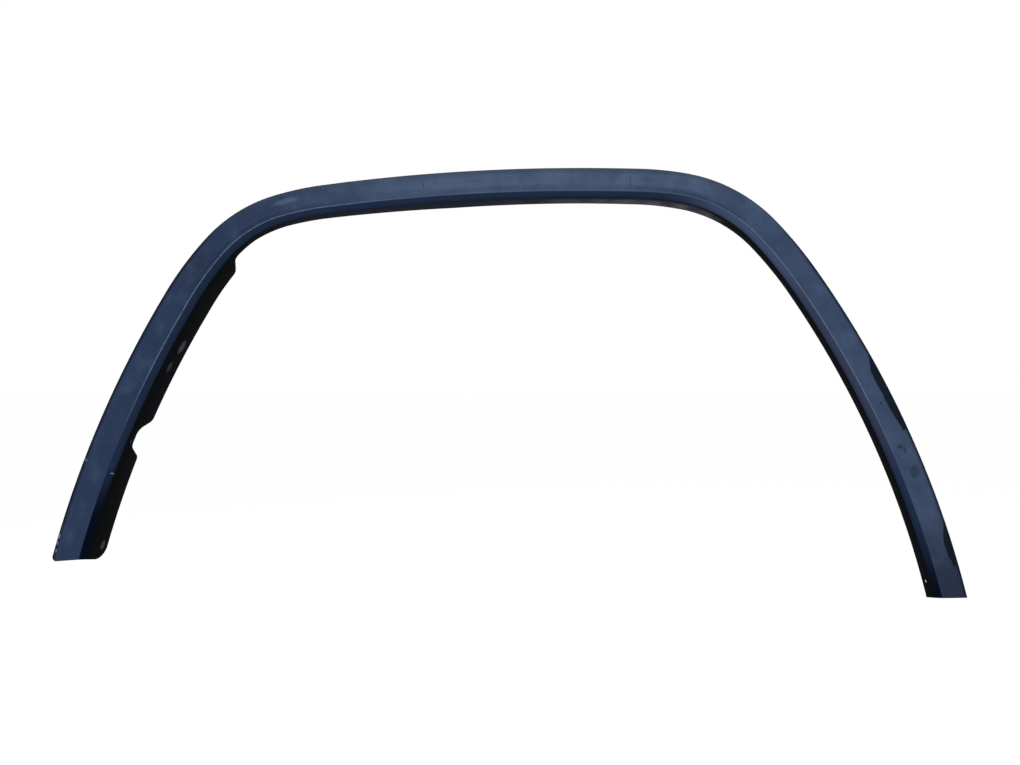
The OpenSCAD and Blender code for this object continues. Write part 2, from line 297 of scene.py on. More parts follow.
def tab_corner():
    """The rounded lower corner of the tab, from the lower end up to the free edge."""
    place = place_at(-LEFT_END)
    normal = end_normal(-1)
    depth = TAB_END_DEPTH - TAB_CORNER_R
    inwards, back = on_flange(-LEFT_END, depth)
    along = place.to_3x3() @ Vector((0, 1, 0))
    edge = place @ Vector((0, 0, FACE_FALL))
    start = -(place @ Vector((-inwards, 0, back)) - edge).dot(normal) / along.dot(normal)
    swings = [math.pi / 2 * i / CURVE_STEPS for i in range(CURVE_STEPS + 1)]
    return [
        Vector((start + TAB_CORNER_R * (1 - math.cos(a)), depth + TAB_CORNER_R * math.sin(a)))
        for a in swings
    ]


def end_normal(way):
    """Upward normal of the plane that cuts one lower end, which falls towards the back."""
    rise = LEFT_END_RISE if way < 0 else 0
    level = math.cos(END_SLOPE)
    return Vector((-level * math.sin(rise), math.sin(END_SLOPE), level * math.cos(rise)))


def free_edge_line():
    """The whole free edge from the left end to the right end."""
    line = []
    for base, shape in ((-LEFT_END, tab_corner()), (-NOTCH_AT, tab_notch()), (-TAB_START, tab_step())):
        line += [(distance_at(base, point.x, point.y), point.y) for point in shape]
    left_corner = length_above(LEFT_BENDS, 3)
    corner_run = left_corner - length_above(LEFT_BENDS, 2)
    line += [
        (-left_corner + corner_run / 2, LEFT_CORNER_DEPTH),
        (-left_corner + corner_run, LEFT_LEAD_DEPTH),
        (-length_above(LEFT_BENDS, 1) / 2, TOP_DEPTH),
        (0, CROWN_DEPTH),
        (length_above(RIGHT_BENDS, 2), TOP_DEPTH),
        (length_above(RIGHT_BENDS, 3), RIGHT_CORNER_DEPTH),
        (length_above(RIGHT_BENDS), RIGHT_LEG_DEPTH),
        (RIGHT_END + OVERRUN, RIGHT_END_DEPTH),
    ]
    return line


FREE_EDGE_LINE = free_edge_line()


def stations():
    """Distances at which the section is placed: dense in tight bends and wherever the free edge turns."""
    marks = {-LEFT_END - OVERRUN, 0, RIGHT_END + OVERRUN}
    for bends, end, way in ((LEFT_BENDS, LEFT_END + OVERRUN, -1), (RIGHT_BENDS, RIGHT_END + OVERRUN, 1)):
        start = 0
        for radius, turn, lean in bends:
            run = min(radius * math.radians(turn), end - start)
            longest_chord = math.sqrt(8 * radius * FACET_GAP)
            count = math.ceil(run / longest_chord)
            marks.update(way * (start + run * i / count) for i in range(1, count + 1))
            start += run
    shape = [distance for distance, depth in FREE_EDGE_LINE]
    clear = 0.8 * MM
    return sorted(shape + [m for m in marks if min(abs(m - d) for d in shape) > clear])


# ---- The section

def face_back(inwards, width):
    """Depth of the front surface of a face of this width at a distance from the outer edge."""
    t = min(1, inwards / width)
    return FACE_FALL * (1 - t) - 4 * FACE_BULGE * t * (1 - t)


def outer_line(distance, depth):
    """Corners of the outer surface from the rim on the body to the free edge of the flange."""
    width = between(FACE_WIDTHS, distance)
    spots = [width * i / FACE_STEPS for i in range(FACE_STEPS + 1)]
    face = [Vector((spot, face_back(spot, width))) for spot in spots]
    return [Vector((0, SEAT_DEPTH))] + face + [on_flange(distance, 0), on_flange(distance, depth)]


def inner_line(outer):
    """The same line one wall behind."""
    ways = [(b - a).normalized() for a, b in zip(outer, outer[1:])]
    sides = [Vector((way.y, -way.x)) for way in ways]
    moved = [outer[0] - WALL * sides[0]]
    for corner, m, n in zip(outer[1:], sides, sides[1:]):
        moved.append(corner - WALL * (m + n) / (1 + m.dot(n)))
    return moved + [outer[-1] - WALL * sides[-1]]


def ring_points(distance):
    """The section's outline at a distance, as points in the frame of the part."""
    outer = outer_line(distance, between(FREE_EDGE_LINE, distance))
    place = place_at(distance)
    return [place @ Vector((-p.x, 0, p.y)) for p in outer + inner_line(outer)[::-1]]


def turn_between(line, corner):
    """Angle by which a line turns at one of its corners."""
    return (line[corner] - line[corner - 1]).angle(line[corner + 1] - line[corner])


def soften(bm, edges, offset, segments):
    """Rounds edges; the offset is the distance from the sharp edge to where the rounding starts."""
    bmesh.ops.bevel(
        bm, geom=edges, offset=offset, offset_type="OFFSET", segments=segments, profile=0.5,
        affect="EDGES", clamp_overlap=False, material=-1)


def swept_moulding():
    """The bare section carried along the arch, with its corners rounded and its lower ends cut."""
    bm = bmesh.new()
    corner = bm.verts.layers.int.new("corner")
    places = stations()
    ring = [bm.verts.new(point) for point in ring_points(places[0])]
    for k, vert in enumerate(ring):
        vert[corner] = k
    edges = [bm.edges.new((ring[k - 1], ring[k])) for k in range(RING)]
    for distance in places[1:]:
        made = bmesh.ops.extrude_edge_only(bm, edges=edges)["geom"]
        ring = {g for g in made if isinstance(g, bmesh.types.BMVert)}
        edges = [g for g in made if isinstance(g, bmesh.types.BMEdge) and ring.issuperset(g.verts)]
        points = ring_points(distance)
        for vert in ring:
            vert.co = points[vert[corner]]
    line = outer_line(0, TOP_DEPTH)
    roundings = []
    for k, radius in ((OUTER_EDGE, OUTER_EDGE_R), (CREASE, CREASE_R), (ROOT_CORNER, ROOT_R - WALL)):
        reach = math.tan(turn_between(line, k) / 2)
        hidden = radius - WALL if k == OUTER_EDGE else radius + WALL
        roundings += [(k, radius * reach), (RING - 1 - k, hidden * reach)]
    roundings += [(k, FREE_EDGE_SOFT) for k in (RIM, RING - 1, FREE_EDGE, FREE_EDGE + 1)]
    chains = []
    for k, size in roundings:
        chain = [e for e in bm.edges if e.verts[0][corner] == e.verts[1][corner] == k]
        chains.append((chain, size))
    for chain, size in chains:
        soften(bm, chain, size, BEND_STEPS if size > FREE_EDGE_SOFT else FREE_EDGE_STEPS)
    for distance, way in ((-LEFT_END, -1), (RIGHT_END, 1)):
        cut_lower_end(bm, distance, way)
    bmesh.ops.recalc_face_normals(bm, faces=bm.faces)
    return bm


def cut_lower_end(bm, distance, way):
    """Cuts one leg along the sloped plane through its outer edge, and closes the cut."""
    leg = [v for v in bm.verts if v.co.x * way > LEGS_FROM]
    near = set(leg)
    geom = leg + [e for e in bm.edges if near.issuperset(e.verts)]
    geom += [f for f in bm.faces if near.issuperset(f.verts)]
    cut = bmesh.ops.bisect_plane(
        bm, geom=geom, dist=SAME_POINT, plane_co=spot_at(distance, 0, FACE_FALL),
        plane_no=end_normal(way), clear_inner=True)
    rim = [g for g in cut["geom_cut"] if isinstance(g, bmesh.types.BMEdge)]
    bmesh.ops.edgeloop_fill(bm, edges=rim)
    soften(bm, rim, LOWER_END_SOFT, SOFT_STEPS)


# ---- Fixings on the hidden side

def as_object(bm, name):
    """Puts a finished mesh into the scene as a piece."""
    bmesh.ops.recalc_face_normals(bm, faces=bm.faces)
    mesh = bpy.data.meshes.new(name)
    bm.to_mesh(mesh)
    bm.free()
    piece = bpy.data.objects.new(name, mesh)
    bpy.context.scene.collection.objects.link(piece)
    return piece


def combine(piece, tool, operation):
    """Joins or cuts a piece with a tool, and takes the tool away."""
    step = piece.modifiers.new("combine", "BOOLEAN")
    step.operation, step.solver, step.object = operation, "EXACT", tool
    made = bpy.data.meshes.new_from_object(piece.evaluated_get(bpy.context.evaluated_depsgraph_get()))
    piece.modifiers.clear()
    piece.data = made
    bpy.data.objects.remove(tool)


def slab(outline, thickness):
    """A flat shape in the plane of X and Z with a thickness along Y, half of it on each side."""
    bm = bmesh.new()
    side = bm.faces.new([bm.verts.new((x, -thickness / 2, z)) for x, z in outline])
    grown = bmesh.ops.extrude_face_region(bm, geom=[side])["geom"]
    far_side = [g for g in grown if isinstance(g, bmesh.types.BMVert)]
    bmesh.ops.translate(bm, vec=(0, thickness, 0), verts=far_side)
    return bm


def block(low, high):
    """A cube between two corners, given as [inwards, along, back]."""
    bm = bmesh.new()
    size = [b - a for a, b in zip(low, high)]
    middle = [(a + b) / 2 for a, b in zip(low, high)]
    bmesh.ops.create_cube(bm, size=1)
    bmesh.ops.scale(bm, vec=size, verts=bm.verts)
    bmesh.ops.translate(bm, vec=(-middle[0], middle[1], middle[2]), verts=bm.verts)
    return bm


def clip_house():
    """A house open towards the wheel, whose roof has the keyhole seat of a push-in clip."""
    near, wide = CLIP_INSET - HOUSE_WIDTH / 2, CLIP_INSET + HOUSE_WIDTH / 2
    half = HOUSE_LENGTH / 2
    house = as_object(block((near, -half, WALL), (wide, half, SEAT_DEPTH)), "house")
    inside = HOUSE_WALL + near
    room = block(
        (inside, HOUSE_WALL - half, 0), (wide + HOUSE_WALL, half - HOUSE_WALL, SEAT_DEPTH - HOUSE_WALL))
    combine(house, as_object(room, "room"), "DIFFERENCE")
    entry = block(
        (CLIP_INSET, -CLIP_ENTRY / 2, SEAT_DEPTH - 2 * HOUSE_WALL),
        (wide + HOUSE_WALL, CLIP_ENTRY / 2, SEAT_DEPTH + HOUSE_WALL))
    combine(house, as_object(entry, "entry"), "DIFFERENCE")
    seat = bmesh.new()
    bmesh.ops.create_cone(
        seat, cap_ends=True, segments=SEAT_STEPS, radius1=CLIP_NECK / 2, radius2=CLIP_NECK / 2,
        depth=3 * HOUSE_WALL, matrix=Matrix.Translation((-CLIP_INSET, 0, SEAT_DEPTH)))
    combine(house, as_object(seat, "seat"), "DIFFERENCE")
    bm = bmesh.new()
    bm.from_mesh(house.data)
    bpy.data.objects.remove(house)
    bmesh.ops.dissolve_limit(bm, angle_limit=FLAT, verts=bm.verts, edges=bm.edges)
    near_roof = SEAT_DEPTH - 3 * HOUSE_WALL
    sharp = [
        e for e in bm.edges if e.calc_face_angle(0) > SHARP and max(v.co.z for v in e.verts) > near_roof]
    soften(bm, sharp, HOUSE_SOFT, SOFT_STEPS)
    return bm


def gusset(width):
    """A web that stiffens the angle between the chamfer and the flange, behind a face of this width."""
    start = width - CHAMFER_WIDTH
    root = Vector((width + CHAMFER_WIDTH, CHAMFER_FALL))
    corners = [
        Vector((start, face_back(start, width) + FOOT_SUNK)),
        Vector((width, FOOT_SUNK)),
        root + Vector((FOOT_SUNK - WALL, WALL - FOOT_SUNK)),
        root + Vector((-FOOT_SUNK, 0)) + GUSSET_DEEP * Vector((math.tan(FLANGE_LEAN), 1)),
    ]
    bm = slab([(-p.x, p.y) for p in corners], GUSSET_THICK)
    bmesh.ops.recalc_face_normals(bm, faces=bm.faces)
    web = bpy.data.meshes.new("gusset")
    bm.to_mesh(web)
    bm.free()
    return web


def fixings():
    """All clip houses and gussets in one mesh."""
    together = bmesh.new()
    pattern = bpy.data.meshes.new("clip_house")
    clip_house().to_mesh(pattern)
    for i in range(-CLIPS_LEFT, CLIPS_RIGHT + 1):
        distance = i * CLIP_PITCH
        house = pattern.copy()
        for vert in house.vertices:
            if vert.co.z < SEAT_DEPTH / 2:
                vert.co.z = face_back(-vert.co.x, between(FACE_WIDTHS, distance)) + FOOT_SUNK
        house.transform(place_at(distance))
        together.from_mesh(house)
    for i in range(-CLIPS_LEFT, CLIPS_RIGHT):
        distance = (i + 0.5) * CLIP_PITCH
        web = gusset(between(FACE_WIDTHS, distance))
        web.transform(place_at(distance))
        together.from_mesh(web)
    return as_object(together, "fixings")


def screw_hole(distance, depth):
    """A cutter for a screw hole square to the flange, with a softened mouth on both sides."""
    bm = bmesh.new()
    radius, half, soft = SCREW_HOLE / 2, WALL / 2, SCREW_HOLE_SOFT
    bulge = 0.3 * soft
    outline = [
        (radius + 2 * soft, half + soft), (radius + soft, half), (radius + bulge, half - bulge),
        (radius, half - soft), (radius, -half + soft), (radius + bulge, -half + bulge),
        (radius + soft, -half), (radius + 2 * soft, -half - soft)]
    points = [bm.verts.new((0, 0, half + soft))] + [bm.verts.new((r, 0, h)) for r, h in outline]
    points.append(bm.verts.new((0, 0, -half - soft)))
    edges = [bm.edges.new(pair) for pair in zip(points, points[1:])]
    bmesh.ops.spin(
        bm, geom=points + edges, cent=(0, 0, 0), axis=UP, angle=math.tau, steps=SCREW_HOLE_STEPS,
        use_merge=True)
    bmesh.ops.remove_doubles(bm, verts=bm.verts, dist=SAME_POINT)
    inwards, back = on_flange(distance, depth)
    into_wall = Matrix.Translation((half * math.cos(FLANGE_LEAN), 0, half * math.sin(FLANGE_LEAN)))
    square = Matrix.Rotation(math.pi / 2 - FLANGE_LEAN, 4, "Y")
    place = place_at(distance) @ Matrix.Translation((-inwards, 0, back)) @ into_wall @ square
    bmesh.ops.transform(bm, matrix=place, verts=bm.verts)
    return as_object(bm, "screw_hole")


def end_corner():
    """A cutter that rounds the outer lower corner of the left leg, seen from the front."""
    chord = 12 * MM
    corner = spot_at(-LEFT_END, 0, FACE_FALL)
    up_leg = spot_at(chord - LEFT_END, 0, FACE_FALL) - corner
    up_leg = Vector((up_leg.x, up_leg.z)).normalized()
    inwards = Vector((math.cos(LEFT_END_RISE), math.sin(LEFT_END_RISE)))
    corner = Vector((corner.x, corner.z))
    reach = 3 * END_CORNER_R
    line = rounded_line([corner + up_leg * reach, corner, corner + inwards * reach], (END_CORNER_R,))[1:-1]
    spare = -(up_leg + inwards) * END_CORNER_R
    line += [line[-1] + spare, corner + 2 * spare, line[0] + spare]
    return as_object(slab(line, 8 * SEAT_DEPTH), "end_corner")


# ---- Where each point lies on the moulding, for the finish

def mark_finish(piece):
    """Stores for each vertex how far it lies along the arch, across the outer surface and behind it."""
    step = 4 * MM
    first, whole = -LEFT_END - OVERRUN, LEFT_END + RIGHT_END + 2 * OVERRUN
    marks = [first + step * i for i in range(math.ceil(whole / step))]
    tree = KDTree(len(marks))
    for i, distance in enumerate(marks):
        tree.insert(spot_at(distance, CREASE_AT, FACE_FALL), i)
    tree.balance()
    deepest = 2 * TAB_TOP_DEPTH
    across = [FACE_FALL - SEAT_DEPTH] + [CREASE_AT * i / FACE_STEPS for i in range(FACE_STEPS + 1)]
    across += [ROOT_AT, ROOT_AT + deepest / math.cos(FLANGE_LEAN)]
    values, tries = [], 4
    for vert in piece.data.vertices:
        distance = marks[tree.find(vert.co)[1]]
        for _ in range(tries):
            local = place_at(distance).inverted() @ vert.co
            distance += local.y
        behind, place = nearest_on(outer_line(distance, deepest), across, Vector((-local.x, local.z)))
        values += (distance, place, behind)
    layer = piece.data.attributes.new("moulding", "FLOAT_VECTOR", "POINT")
    layer.data.foreach_set("vector", values)


def nearest_on(line, marks, spot):
    """Distance of a point of the section from the outer surface, and its place between that line's marks."""
    best = (1, 0)
    for low, high, a, b in zip(marks, marks[1:], line, line[1:]):
        way = b - a
        share = min(1, max(0, (spot - a).dot(way) / way.length_squared))
        best = min(best, ((spot - a - share * way).length, low + share * (high - low)))
    return best


# ---- Finish

def linear(levels):
    """A colour given as screen levels from 0 to 255, taken through the sRGB curve."""
    return [(c / 255 / 12.92 if c <= 10 else ((c / 255 + 0.055) / 1.055) ** 2.4) for c in levels] + [1]


def add(tree, kind, links=None, **settings):
    """Adds a node; links gives its inputs as sockets or plain values."""
    node = tree.nodes.new(kind)
    for name, value in settings.items():
        setattr(node, name, value)
    for name, value in (links or {}).items():
        if isinstance(value, bpy.types.NodeSocket):
            tree.links.new(value, node.inputs[name])
        else:
            node.inputs[name].default_value = value
    return node


def calc(tree, operation, first, second):
    return add(tree, "ShaderNodeMath", {0: first, 1: second}, operation=operation).outputs[0]


def times(tree, product, *masks):
    """The product of masks and shares."""
    for mask in masks:
        product = calc(tree, "MULTIPLY", product, mask)
    return product


def rest_of(tree, mask):
    """1 where a mask is 0, and 0 where it is 1."""
    return calc(tree, "SUBTRACT", 1.0, mask)


def vector_calc(tree, operation, first, second):
    return add(tree, "ShaderNodeVectorMath", {0: first, 1: second}, operation=operation).outputs[0]


def noise(tree, place, scale, detail, roughness=0.5):
    """Clouds, which get smaller as the scale grows."""
    return add(tree, "ShaderNodeTexNoise", {
        "Vector": place, "Scale": scale, "Detail": detail, "Roughness": roughness,
    }).outputs[0]


def ramp(tree, value, start, end, low=0, high=1):
    """A smooth change from low to high while the value goes from start to end."""
    return add(tree, "ShaderNodeMapRange", {
        "Value": value, "From Min": start, "From Max": end, "To Min": low, "To Max": high,
    }, interpolation_type="SMOOTHSTEP").outputs["Result"]


def band(tree, value, low, high, soft):
    """1 between low and high, fading over the soft width outside."""
    rise = ramp(tree, value, low - soft, low)
    return calc(tree, "MULTIPLY", rise, ramp(tree, value, high, high + soft, 1, 0))


def stretch(tree, value, limits):
    """A band whose start, end and soft width are given in mm."""
    low, high, soft = limits
    return band(tree, value, low * MM, high * MM, soft * MM)


def mix(tree, share, first, second):
    return add(tree, "ShaderNodeMix", {0: share, 6: first, 7: second}, data_type="RGBA").outputs[2]


def tint(tree, share, colour, tone):
    """A colour with a share of a named tone laid over it."""
    return mix(tree, share, colour, linear(tone))


def effect(name, inputs, outputs):
    """A shader node group with named inputs and outputs."""
    tree = bpy.data.node_groups.new(name, "ShaderNodeTree")
    for socket, value in inputs.items():
        kind = "NodeSocketVector" if isinstance(value, tuple) else "NodeSocketFloat"
        made = tree.interface.new_socket(socket, in_out="INPUT", socket_type=kind)
        made.default_value = value
    for socket, kind in outputs.items():
        tree.interface.new_socket(socket, in_out="OUTPUT", socket_type=kind)
    return tree, tree.nodes.new("NodeGroupInput").outputs, tree.nodes.new("NodeGroupOutput").inputs


def use(tree, group, links):
    return add(tree, "ShaderNodeGroup", links, node_tree=group).outputs


def streak_effect():
    """Fine lines that run along the arch, as wiping leaves in dust."""
    tree, given, out = effect(
        "streaks", {"Place": (0, 0, 0), "Length": 6.0, "Fineness": 700.0}, {"Mask": "NodeSocketFloat"})
    fineness = given["Fineness"]
    drawn_out = add(tree, "ShaderNodeCombineXYZ", {"X": given["Length"], "Y": fineness, "Z": fineness})
    spread = vector_calc(tree, "MULTIPLY", given["Place"], drawn_out.outputs[0])
    lines = noise(tree, spread, scale=1.0, detail=4.0, roughness=0.6)
    tree.links.new(ramp(tree, lines, 0.35, 0.7), out["Mask"])
    return tree


def spot_effect():
    """One worn or dirty spot with a ragged edge."""
    tree, given, out = effect(
        "worn_spot", {"Place": (0, 0, 0), "Centre": (0, 0, 0), "Half size": (0.01, 0.002, 1), "Ragged": 0.5},
        {"Mask": "NodeSocketFloat"})
    offset = vector_calc(tree, "SUBTRACT", given["Place"], given["Centre"])
    size = vector_calc(tree, "DIVIDE", offset, given["Half size"])
    far = add(tree, "ShaderNodeVectorMath", {0: size}, operation="LENGTH").outputs["Value"]
    cloud = noise(tree, given["Place"], scale=450.0, detail=5.0, roughness=0.65)
    wave = times(tree, calc(tree, "SUBTRACT", cloud, 0.5), times(tree, given["Ragged"], 4.0))
    tree.links.new(ramp(tree, calc(tree, "ADD", far, wave), 0.6, 1.15, 1, 0), out["Mask"])
    return tree


def grain_effect():
    """The fine spark-eroded grain of a moulded surface."""
    tree, given, out = effect(
        "moulded_grain", {"Place": (0, 0, 0), "Size": 1500.0, "Height": 0.3}, {"Normal": "NodeSocketVector"})
    grain = noise(tree, given["Place"], given["Size"], detail=3.0)
    bump = add(tree, "ShaderNodeBump", {
        "Strength": given["Height"], "Distance": GRAIN_DEPTH, "Height": grain})
    tree.links.new(bump.outputs[0], out["Normal"])
    return tree


def along_arch(tree, along, stops):
    """A colour that changes along the arch; stops pair a distance in mm with a tone."""
    colour = linear(stops[0][1])
    for (start, _), (end, tone) in zip(stops, stops[1:]):
        colour = tint(tree, ramp(tree, along, start * MM, end * MM), colour, tone)
    return colour


SLATE, SLATE_SHADE, SLATE_LIT, SLATE_DEEP = (68, 84, 112), (46, 61, 88), (78, 94, 121), (44, 54, 75)
SLATE_DIM, NAVY, NAVY_DEEP = (58, 66, 90), (32, 47, 71), (3, 10, 28)
BLACK, BLACK_DUSTED_AND_LIT, BACK_BLACK = (3, 4, 6), (18, 23, 35), (56, 57, 61)
DUST_LIT_FROM_BELOW, WIPED_AND_HIGHLIGHT, FILM = (84, 82, 88), (104, 120, 146), (16, 23, 35)
BARE, GREY, DIRT = (140, 150, 164), (68, 71, 78), (34, 42, 58)
# Tones along the arch, each from its distance in mm on
# The face's tones are painted light: palest over the top, which faces up, shaded down the left leg and
# darker towards the right end
FACE_PAINTED_LIGHT = (
    (-430, SLATE_SHADE), (-70, SLATE_LIT), (100, SLATE_LIT), (190, SLATE), (570, SLATE), (690, SLATE_DEEP))
# The chamfer's tones are painted light and shade: dark navy on the left leg and over the top, lighter slate
# on the right leg, darkest at both ends
CHAMFER_PAINTED_LIGHT = (
    (-770, NAVY_DEEP), (-690, NAVY), (80, NAVY), (200, SLATE), (260, SLATE), (330, SLATE_DIM),
    (440, SLATE_DIM), (590, NAVY), (690, NAVY_DEEP))
# The flange's tones are black, with a paler band under the top that is partly dust and partly painted light
# from below
FLANGE_TONES = ((-400, BLACK), (-220, BLACK_DUSTED_AND_LIT), (130, BLACK_DUSTED_AND_LIT), (190, BLACK))

# Stretches of the arch, and the middle of the face across it, as [from, to, fade beyond them] in mm
SHADED_LEFT, SHADED_RIGHT = (-450, -330, 100), (100, 160, 60)
STREAKED, SIDES_SHADED = (-160, 140, 120), (-150, 100, 120)
TOP_OF_ARCH = (-360, 200, 100)
CREASE_HIGHLIGHTED, CREASE_HIGHLIGHT_FAINTER = (-560, 420, 120), (-180, 120, 100)
MIDDLE_OF_FACE = (10, 18, 7)
# Pale grey under the top, partly dust and partly painted light from below, as [start, full, still full, end]
# in mm
DUST_AND_LIGHT_UNDER_TOP = (-140, 120, 155, 185)
# Shares of the tone that each layer of the finish lays on
CREASE_SHADE, SIDE_SHADE = 0.55, 0.28
PALE_STREAKS, THIN_STREAKS = 0.28, 0.05
DARK_CLOUDS, PALE_CLOUDS = 0.26, 0.12
ROLL_SHADE, ROLL_GREY = 0.95, 0.4
CHAMFER_ROOT_SHADE, CREASE_FAINTNESS, FILM_SHARE = 0.3, 0.65, 0.93
GRAIN_DEPTH = 0.2 * MM
GLOSS = 0.02

# Scuffs and dirt, as [along, across, half length, half width, strength, tone] with lengths in mm
SPOTS = (
    (-802, 2.3, 3, 1, 0.9, BARE),
    (-810, 2.3, 2.2, 0.8, 0.8, BARE),
    (-818, 3.3, 2.2, 0.9, 0.6, BARE),
    (-709, 3, 2, 2.2, 0.6, WIPED_AND_HIGHLIGHT),
    (-711, 35, 1, 2.2, 0.65, BARE),
    (-702, 31.5, 3, 1, 0.5, GREY),
    (-671, 44.5, 3, 1.2, 0.6, GREY),
    (-804, 58.5, 6, 3.5, 0.75, GREY),
    (-575, 52, 7, 3.5, 0.5, GREY),
    (-548, 55.5, 9, 4.5, 0.8, GREY),
    (-448, 13, 9, 12, 0.3, DIRT),
    (-322, 12, 16, 3.5, 0.4, WIPED_AND_HIGHLIGHT),
    (-170, 15.5, 0.9, 8, 0.35, DIRT),
    (54, 16.5, 0.9, 8, 0.35, DIRT),
    (460, 17, 1.6, 1.4, 0.8, DIRT),
    (513, 18.5, 1.8, 3.5, 0.7, DIRT),
    (519, 15, 4.5, 1.6, 0.6, DIRT),
    (546, 14, 8, 6, 0.45, DIRT),
)
# Dark film on the right leg, as [start, widest from, widest to, end, width, width at its end] in mm
FILMS = ((400, 428, 468, 498, 11.5, 8.5), (603, 635, 646, 661, 11, 8))


def face_colour(tree, place, along, across, cloud):
    """The face, with painted light that makes it palest over the top, and lengthwise streaks there."""
    colour = along_arch(tree, along, FACE_PAINTED_LIGHT)
    crease_side = ramp(tree, across, CREASE_AT - 7 * MM, CREASE_AT - 2.5 * MM)
    shaded = calc(tree, "MAXIMUM", stretch(tree, along, SHADED_LEFT), stretch(tree, along, SHADED_RIGHT))
    colour = tint(tree, times(tree, crease_side, shaded, CREASE_SHADE), colour, NAVY)
    streaks = use(tree, STREAKS, {"Place": place, "Length": 7.0, "Fineness": 800.0})["Mask"]
    colour = tint(tree, times(tree, streaks, stretch(tree, along, STREAKED), PALE_STREAKS), colour, WIPED_AND_HIGHLIGHT)
    colour = tint(tree, times(tree, streaks, THIN_STREAKS), colour, WIPED_AND_HIGHLIGHT)
    sides = rest_of(tree, stretch(tree, across, MIDDLE_OF_FACE))
    colour = tint(tree, times(tree, sides, stretch(tree, along, SIDES_SHADED), SIDE_SHADE), colour, NAVY)
    colour = tint(tree, ramp(tree, cloud, 0.42, 0.68, 0, DARK_CLOUDS), colour, NAVY)
    return tint(tree, ramp(tree, cloud, 0.5, 0.3, 0, PALE_CLOUDS), colour, WIPED_AND_HIGHLIGHT)


def with_edges(tree, colour, along, across, fine):
    """Adds painted shade on the roll of the outer edge, the chamfer with its painted light and shade, and a
    painted highlight along the crease.
    """
    # Painted shade on the roll of the outer edge: deep navy down the legs, greyer over the top
    roll_shade = ramp(tree, across, 1 * MM, 6 * MM, ROLL_SHADE, 0)
    top = stretch(tree, along, TOP_OF_ARCH)
    colour = tint(tree, times(tree, roll_shade, rest_of(tree, top)), colour, NAVY_DEEP)
    colour = tint(tree, times(tree, roll_shade, times(tree, top, ROLL_GREY)), colour, GREY)
    # Painted shade that deepens down the chamfer towards the root of the flange
    root_shade = ramp(tree, across, CREASE_AT + 4 * MM, ROOT_AT, 0, CHAMFER_ROOT_SHADE)
    chamfer_painted_shading = tint(tree, root_shade, along_arch(tree, along, CHAMFER_PAINTED_LIGHT), NAVY_DEEP)
    chamfer = ramp(tree, across, CREASE_AT + 0.4 * MM, CREASE_AT + 1.6 * MM)
    colour = mix(tree, chamfer, colour, chamfer_painted_shading)
    # A painted highlight along the crease, broken up by fine clouds and fainter over the top
    crease = band(tree, across, CREASE_AT - 0.4 * MM, CREASE_AT + 0.4 * MM, 0.5 * MM)
    highlight_breakup = ramp(tree, fine, 0.3, 0.6, 0.35, 0.95)
    fainter = times(tree, stretch(tree, along, CREASE_HIGHLIGHT_FAINTER), CREASE_FAINTNESS)
    crease_highlight = times(tree, crease, stretch(tree, along, CREASE_HIGHLIGHTED), highlight_breakup, rest_of(tree, fainter))
    return tint(tree, crease_highlight, colour, WIPED_AND_HIGHLIGHT)


def with_dust_and_light_below(tree, colour, along, across, outside, cloud, fine):
    """Adds pale grey on the flange under the top, partly dust and partly painted light from below."""
    start, full, still_full, end = DUST_AND_LIGHT_UNDER_TOP
    dusty_lit = ramp(tree, along, start * MM, full * MM)
    dusty_lit = times(tree, dusty_lit, ramp(tree, along, still_full * MM, end * MM, 1, 0))
    dusty_lit = times(tree, dusty_lit, ramp(tree, across, ROOT_AT + 3 * MM, ROOT_AT + 8 * MM))
    dusty_lit = times(tree, dusty_lit, times(tree, outside, ramp(tree, cloud, 0.38, 0.6, 0.25, 1)))
    return tint(tree, times(tree, dusty_lit, ramp(tree, fine, 0.3, 0.65, 0.5, 1)), colour, DUST_LIT_FROM_BELOW)


def with_marks(tree, colour, place, along, across, outside, fine):
    """Adds scuffs, dirt and film."""
    for at, over, half_long, half_wide, strength, tone in SPOTS:
        mask = use(tree, WORN_SPOT, {
            "Place": place, "Centre": (at * MM, over * MM, 0),
            "Half size": (half_long * MM, half_wide * MM, 1),
        })["Mask"]
        colour = tint(tree, times(tree, mask, strength, outside), colour, tone)
    wander = times(tree, calc(tree, "SUBTRACT", fine, 0.5), 3 * MM)
    for start, full, still_full, end, wide, last_wide in FILMS:
        grown = ramp(tree, along, start * MM, full * MM, 2 * MM, wide * MM)
        shrunk = ramp(tree, along, still_full * MM, end * MM, wide * MM, last_wide * MM)
        reach = calc(tree, "SUBTRACT", calc(tree, "MINIMUM", grown, shrunk), across)
        film = ramp(tree, calc(tree, "ADD", reach, wander), 0.3 * MM, 1.4 * MM)
        film = times(tree, film, outside, stretch(tree, along, (start, end, 4)), FILM_SHARE)
        colour = tint(tree, film, colour, FILM)
    return colour


